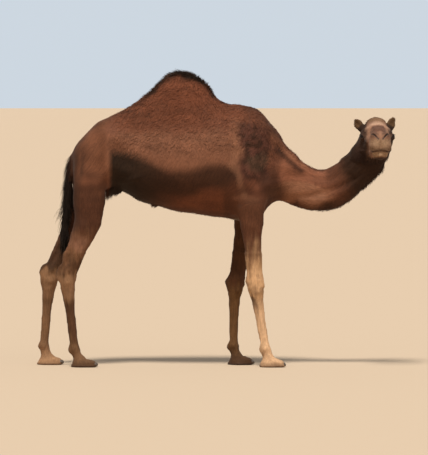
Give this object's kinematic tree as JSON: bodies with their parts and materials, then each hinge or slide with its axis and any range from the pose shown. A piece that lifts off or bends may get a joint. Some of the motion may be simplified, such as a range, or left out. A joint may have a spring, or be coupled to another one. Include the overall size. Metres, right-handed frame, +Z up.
{
  "type": "camel",
  "caption": "Life-size standing one-humped camel, a still animal figure with a low curved neck and its head turned to its right, resting on padded feet.",
  "frame": {"origin": "on the ground under the middle of the animal's bounding box", "axes": "+X forward along the body from tail to chest, +Y towards the animal's left side, +Z up"},
  "size_m": [2.5156, 0.8154, 2.0843],
  "materials": {
    "flank_coat": "dense curly reddish brown wool, matt",
    "mane_coat": "long near-black hair, matt",
    "leg_coat": "short smooth tan to brown hair",
    "face_coat": "very short tan-brown hair",
    "callus": "bare grey-brown horny skin, finely cracked",
    "nail": "dark horn, half gloss",
    "eye": "wet dark brown eye, glossy"
  },
  "bodies": {
    "root": {"hump": "flank_coat", "chest_pad": "callus", "trunk": "flank_coat", "neck_lower": "flank_coat", "neck_upper": "mane_coat", "tail": "mane_coat", "tail_tassel": "mane_coat", "foreleg_right_upper": "leg_coat", "foreleg_right_lower": "leg_coat", "foreleg_right_foot": "leg_coat", "toenail_foreleg_right_inner": "nail", "toenail_foreleg_right_outer": "nail", "foreleg_left_upper": "leg_coat", "foreleg_left_lower": "leg_coat", "foreleg_left_foot": "leg_coat", "toenail_foreleg_left_inner": "nail", "toenail_foreleg_left_outer": "nail", "hindleg_right_upper": "leg_coat", "hindleg_right_lower": "leg_coat", "hindleg_right_foot": "leg_coat", "toenail_hindleg_right_inner": "nail", "toenail_hindleg_right_outer": "nail", "hindleg_left_upper": "leg_coat", "hindleg_left_lower": "leg_coat", "hindleg_left_foot": "leg_coat", "toenail_hindleg_left_inner": "nail", "toenail_hindleg_left_outer": "nail", "head": "face_coat", "lower_jaw": "face_coat", "ear_left": "mane_coat", "ear_right": "mane_coat", "eye_left": "eye", "eye_right": "eye"}
  },
  "joints": []
}
